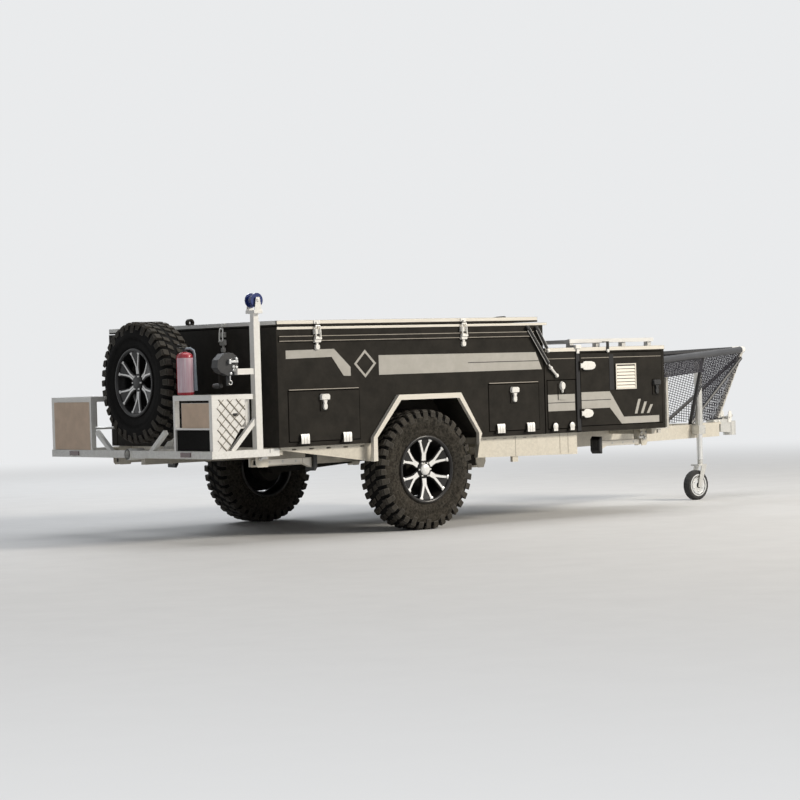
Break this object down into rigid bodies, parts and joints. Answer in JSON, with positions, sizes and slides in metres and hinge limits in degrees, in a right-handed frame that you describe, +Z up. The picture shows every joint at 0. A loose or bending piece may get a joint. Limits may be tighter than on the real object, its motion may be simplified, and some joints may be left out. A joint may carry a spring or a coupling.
{
  "type": "hard-floor camper trailer",
  "caption": "Off-road forward-fold camper trailer: low box body with a hard-floor lid, front box, A-frame drawbar, spare wheel and rear rack.",
  "frame": {"origin": "centre of the bounding box on the floor", "axes": "+X towards the coupling, +Y to the trailer's left, +Z up"},
  "size_m": [6.0694, 2.15, 1.654],
  "materials": {
    "galvanised": "galvanised",
    "black_paint": "satin",
    "aluminium": "satin",
    "grey_paint": "satin",
    "steel": "zinc plated",
    "red_paint": "gloss",
    "grey_cover": "matte",
    "rubber": "matte",
    "black_plastic": "matte",
    "black_steel": "satin",
    "blue_plastic": "gloss",
    "lamp_red": "gloss",
    "tyre": "matte",
    "alloy": "machined and black"
  },
  "bodies": {
    "trailer": {"arch_flares": "aluminium", "body_tub": "black_paint", "can_holder": "grey_paint", "chassis_frame": "galvanised", "coupling": "steel", "drawbar": "galvanised", "fire_extinguisher": "red_paint", "front_box": "black_paint", "front_rack": "aluminium", "hand_winch": "grey_cover", "jockey_tube": "steel", "prop_stays": "black_plastic", "rear_bumper": "galvanised", "rear_cages": "aluminium", "spare_rim": "alloy", "spare_tyre": "tyre", "spring_struts": "black_paint", "stone_guard": "black_steel", "suspension_arms": "galvanised", "tail_lamps": "lamp_red", "winch_post": "galvanised"},
    "wheel_right": {"tyre_right": "tyre", "rim_right": "alloy"},
    "wheel_left": {"tyre_left": "tyre", "rim_left": "alloy"},
    "lid": {"floor_lid": "black_paint"},
    "door_right": {"front_door_right": "black_paint"},
    "door_left": {"front_door_left": "black_paint"},
    "mast": {"winch_mast": "galvanised"},
    "roller": {"strap_roller": "blue_plastic"},
    "winch_handle": {"winch_crank": "steel"},
    "jockey_slide_body": {"jockey_stem": "steel"},
    "jockey_swivel_body": {"jockey_fork": "steel"},
    "jockey_roll_body": {"jockey_wheel": "rubber"},
    "jockey_handle": {"jockey_crank": "steel"},
    "rear_locker_right": {"rear_locker_hatch_right": "black_paint"},
    "front_locker_right": {"front_locker_hatch_right": "black_paint"},
    "tunnel_locker_right": {"tunnel_locker_hatch_right": "black_paint"},
    "stabiliser_front_right": {"leg_front_right": "galvanised"},
    "stabiliser_rear_right": {"leg_rear_right": "galvanised"},
    "rear_locker_left": {"rear_locker_hatch_left": "black_paint"},
    "front_locker_left": {"front_locker_hatch_left": "black_paint"},
    "tunnel_locker_left": {"tunnel_locker_hatch_left": "black_paint"},
    "stabiliser_front_left": {"leg_front_left": "galvanised"},
    "stabiliser_rear_left": {"leg_rear_left": "galvanised"}
  },
  "joints": [
    {"name": "wheel_right_spin", "type": "hinge", "parent": "trailer", "child": "wheel_right", "pos_m": [-1.264, -0.9, 0.418], "axis": [0, 1, 0], "continuous": true},
    {"name": "wheel_left_spin", "type": "hinge", "parent": "trailer", "child": "wheel_left", "pos_m": [-1.264, 0.9, 0.418], "axis": [0, 1, 0], "continuous": true},
    {"name": "lid_fold", "type": "hinge", "parent": "trailer", "child": "lid", "pos_m": [-0.157, 0, 1.478], "axis": [0, 1, 0], "range_deg": [0, 180]},
    {"name": "rear_locker_right_hinge", "type": "hinge", "parent": "trailer", "child": "rear_locker_right", "pos_m": [-2.114, -1.044, 0.644], "axis": [1, 0, 0], "range_deg": [0, 100]},
    {"name": "rear_locker_left_hinge", "type": "hinge", "parent": "trailer", "child": "rear_locker_left", "pos_m": [-2.114, 1.044, 0.644], "axis": [-1, 0, 0], "range_deg": [0, 100]},
    {"name": "front_locker_right_hinge", "type": "hinge", "parent": "trailer", "child": "front_locker_right", "pos_m": [-0.412, -1.044, 0.648], "axis": [1, 0, 0], "range_deg": [0, 100]},
    {"name": "front_locker_left_hinge", "type": "hinge", "parent": "trailer", "child": "front_locker_left", "pos_m": [-0.412, 1.044, 0.648], "axis": [-1, 0, 0], "range_deg": [0, 100]},
    {"name": "tunnel_locker_right_hinge", "type": "hinge", "parent": "trailer", "child": "tunnel_locker_right", "pos_m": [0.048, -1.044, 0.644], "axis": [1, 0, 0], "range_deg": [0, 100]},
    {"name": "tunnel_locker_left_hinge", "type": "hinge", "parent": "trailer", "child": "tunnel_locker_left", "pos_m": [0.048, 1.044, 0.644], "axis": [-1, 0, 0], "range_deg": [0, 100]},
    {"name": "front_door_right_hinge", "type": "hinge", "parent": "trailer", "child": "door_right", "pos_m": [0.228, -1.044, 0.916], "axis": [0, 0, -1], "range_deg": [0, 90]},
    {"name": "front_door_left_hinge", "type": "hinge", "parent": "trailer", "child": "door_left", "pos_m": [0.228, 1.044, 0.916], "axis": [0, 0, 1], "range_deg": [0, 90]},
    {"name": "leg_front_right_swing", "type": "hinge", "parent": "trailer", "child": "stabiliser_front_right", "pos_m": [1.006, -0.846, 0.521], "axis": [0, -1, 0], "range_deg": [0, 90]},
    {"name": "leg_rear_right_swing", "type": "hinge", "parent": "trailer", "child": "stabiliser_rear_right", "pos_m": [-2.554, -0.846, 0.521], "axis": [0, 1, 0], "range_deg": [0, 90]},
    {"name": "leg_front_left_swing", "type": "hinge", "parent": "trailer", "child": "stabiliser_front_left", "pos_m": [1.006, 0.846, 0.521], "axis": [0, -1, 0], "range_deg": [0, 90]},
    {"name": "leg_rear_left_swing", "type": "hinge", "parent": "trailer", "child": "stabiliser_rear_left", "pos_m": [-2.554, 0.846, 0.521], "axis": [0, 1, 0], "range_deg": [0, 90]},
    {"name": "mast_slide", "type": "slide", "parent": "trailer", "child": "mast", "axis": [0, 0, 1], "range_m": [0, 0.3]},
    {"name": "roller_spin", "type": "hinge", "parent": "mast", "child": "roller", "pos_m": [-2.637, -0.98, 1.606], "axis": [0, 1, 0], "continuous": true},
    {"name": "winch_turn", "type": "hinge", "parent": "trailer", "child": "winch_handle", "pos_m": [-2.847, -0.878, 1.181], "axis": [0, 1, 0], "continuous": true},
    {"name": "jockey_lift", "type": "slide", "parent": "trailer", "child": "jockey_slide_body", "axis": [0, 0, 1], "range_m": [0, 0.18]},
    {"name": "jockey_swivel", "type": "hinge", "parent": "jockey_slide_body", "child": "jockey_swivel_body", "pos_m": [2.246, -0.24175, 0.3], "axis": [0, 0, 1], "continuous": true},
    {"name": "jockey_roll", "type": "hinge", "parent": "jockey_swivel_body", "child": "jockey_roll_body", "pos_m": [2.191, -0.24175, 0.118], "axis": [0, 1, 0], "continuous": true},
    {"name": "jockey_turn", "type": "hinge", "parent": "trailer", "child": "jockey_handle", "pos_m": [2.246, -0.24175, 1.118], "axis": [0, 0, 1], "continuous": true}
  ]
}
